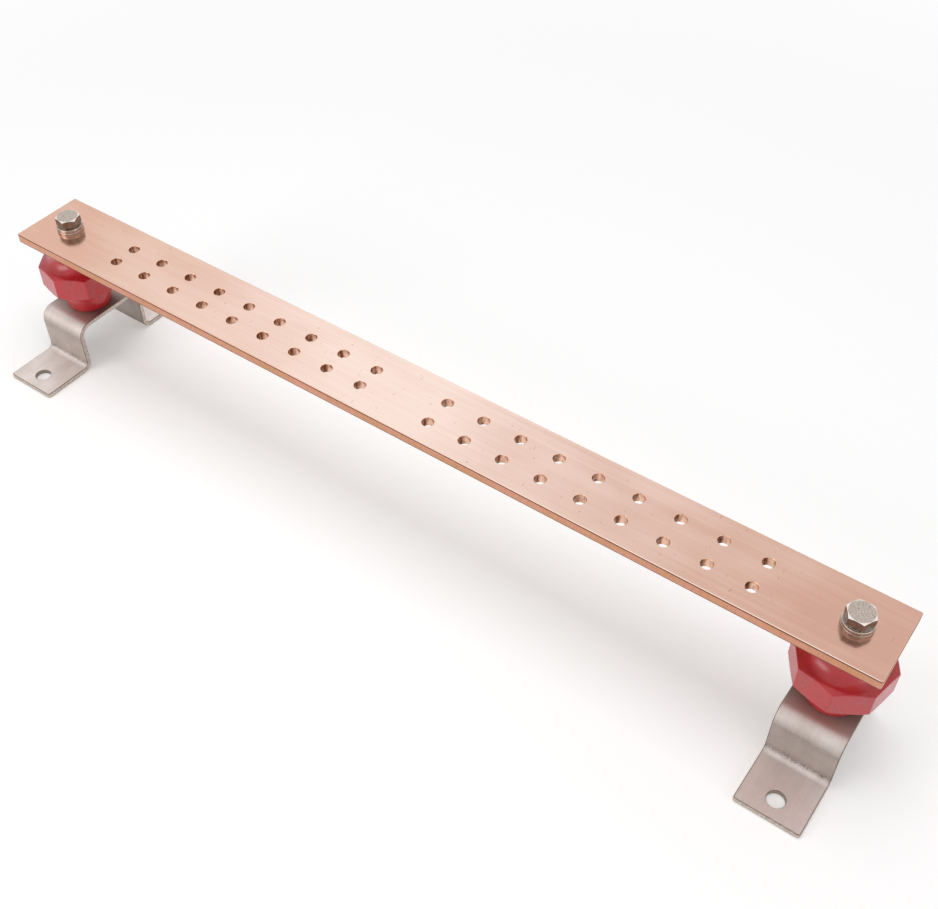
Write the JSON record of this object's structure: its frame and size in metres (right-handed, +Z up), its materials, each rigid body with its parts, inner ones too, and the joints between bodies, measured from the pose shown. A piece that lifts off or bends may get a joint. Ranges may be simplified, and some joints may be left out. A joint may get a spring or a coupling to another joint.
{
  "type": "rack grounding busbar",
  "caption": "Drilled copper grounding bar on standoff insulators, each bolted to a hat-shaped steel mounting bracket with screw-down feet.",
  "frame": {"origin": "on the plane that the feet stand on, midway between the four feet, under the middle of the bar", "axes": "+X along the bar, +Y across the bar, +Z up from the feet to the bar"},
  "size_m": [0.6162, 0.1302, 0.1066],
  "materials": {
    "copper": "satin",
    "red_moulding": "gloss",
    "brass_insert": "satin",
    "stainless_fastener": "satin",
    "stainless_strip": "satin"
  },
  "bodies": {
    "root": {"busbar": "copper", "insulator_left": "red_moulding", "top_insert_left": "brass_insert", "top_bolt_left": "stainless_fastener", "top_lock_washer_left": "stainless_fastener", "top_flat_washer_left": "stainless_fastener", "bottom_insert_left": "brass_insert", "bottom_bolt_left": "stainless_fastener", "bottom_lock_washer_left": "stainless_fastener", "bottom_flat_washer_left": "stainless_fastener", "bracket_left": "stainless_strip", "insulator_right": "red_moulding", "top_insert_right": "brass_insert", "top_bolt_right": "stainless_fastener", "top_lock_washer_right": "stainless_fastener", "top_flat_washer_right": "stainless_fastener", "bottom_insert_right": "brass_insert", "bottom_bolt_right": "stainless_fastener", "bottom_lock_washer_right": "stainless_fastener", "bottom_flat_washer_right": "stainless_fastener", "bracket_right": "stainless_strip"}
  },
  "joints": []
}
